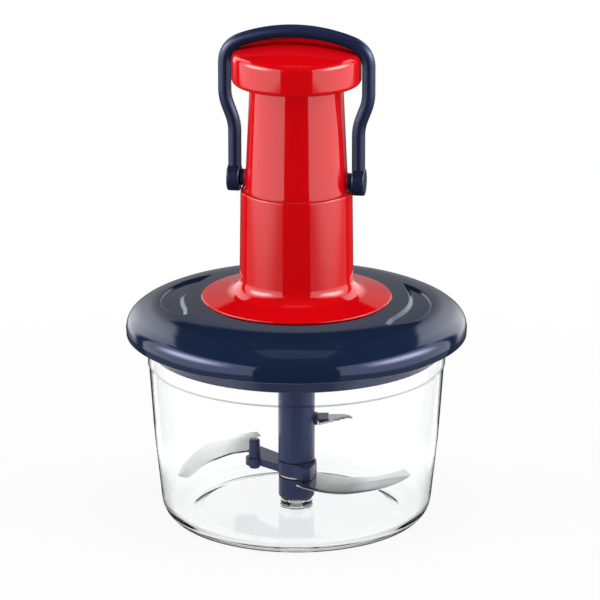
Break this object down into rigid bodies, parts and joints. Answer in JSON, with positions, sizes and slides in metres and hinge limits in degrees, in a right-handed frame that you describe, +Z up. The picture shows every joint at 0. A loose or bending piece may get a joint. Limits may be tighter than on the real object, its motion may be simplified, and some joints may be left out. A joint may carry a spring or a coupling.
{
  "type": "vegetable chopper",
  "caption": "Hand-press vegetable chopper: clear tapered bowl with curved blades on a centre shaft, domed dark blue lid, red pump column and palm knob, and a swinging carry bail.",
  "frame": {"origin": "centre of the bowl's foot ring, on the surface that it stands on", "axes": "+Z up along the pump axis, +X along the bail's pivot axis towards its right eye, +Y towards the back of the pictured view"},
  "size_m": [0.1652, 0.1652, 0.2448],
  "materials": {
    "clear_plastic": "clear, glossy",
    "red_plastic": "glossy",
    "blue_plastic": "glossy",
    "satin_blue_plastic": "satin",
    "white_plastic": "satin",
    "blade_steel": "fine brushed",
    "steel": "plain",
    "seal_rubber": "matte"
  },
  "bodies": {
    "bowl": {"bowl": "clear_plastic", "bowl_pin": "steel"},
    "lid": {"lid_shell": "blue_plastic", "lid_base": "satin_blue_plastic", "lid_seal": "seal_rubber", "pump_column": "red_plastic", "drive_cover": "white_plastic", "column_screw_1": "steel", "column_screw_2": "steel", "column_screw_3": "steel", "base_screw_1": "steel", "base_screw_2": "steel", "base_screw_3": "steel", "base_screw_4": "steel", "cover_screw_1": "steel", "cover_screw_2": "steel", "cover_screw_3": "steel"},
    "pump": {"neck": "red_plastic", "knob_shell": "red_plastic", "twist_rod": "steel", "rod_washer": "steel", "rod_screw": "steel", "return_spring": "steel"},
    "bail": {"bail": "blue_plastic", "right_pivot_pin": "satin_blue_plastic", "left_pivot_pin": "satin_blue_plastic"},
    "drive": {"drive_nut": "white_plastic", "drive_coupler": "satin_blue_plastic", "coupler_clip": "steel"},
    "blades": {"blade_shaft": "satin_blue_plastic", "shaft_foot": "satin_blue_plastic", "blade_arm": "satin_blue_plastic", "blade_socket": "satin_blue_plastic", "lower_blade": "blade_steel", "middle_blade": "blade_steel", "upper_blade": "blade_steel"}
  },
  "joints": [
    {"name": "lid_lift", "type": "slide", "parent": "bowl", "child": "lid", "axis": [0, 0, 1], "range_m": [0, 0.08]},
    {"name": "pump_press", "type": "slide", "parent": "lid", "child": "pump", "axis": [0, 0, 1], "range_m": [0, 0.036], "deforming": ["return_spring"]},
    {"name": "bail_swing", "type": "hinge", "parent": "pump", "child": "bail", "pos_m": [0, 0, 0.169], "axis": [1, 0, 0], "range_deg": [-136, 136]},
    {"name": "drive_spin", "type": "hinge", "parent": "lid", "child": "drive", "pos_m": [0, 0, 0.1], "axis": [0, 0, 1], "range_deg": [0, 541]},
    {"name": "blade_spin", "type": "hinge", "parent": "bowl", "child": "blades", "pos_m": [0, 0, 0.0196], "axis": [0, 0, 1], "range_deg": [0, 541]}
  ],
  "couplings": [
    {"joint": "drive_spin", "follows": "pump_press", "rad_per_m": 261.8},
    {"joint": "blade_spin", "follows": "pump_press", "rad_per_m": 261.8}
  ]
}
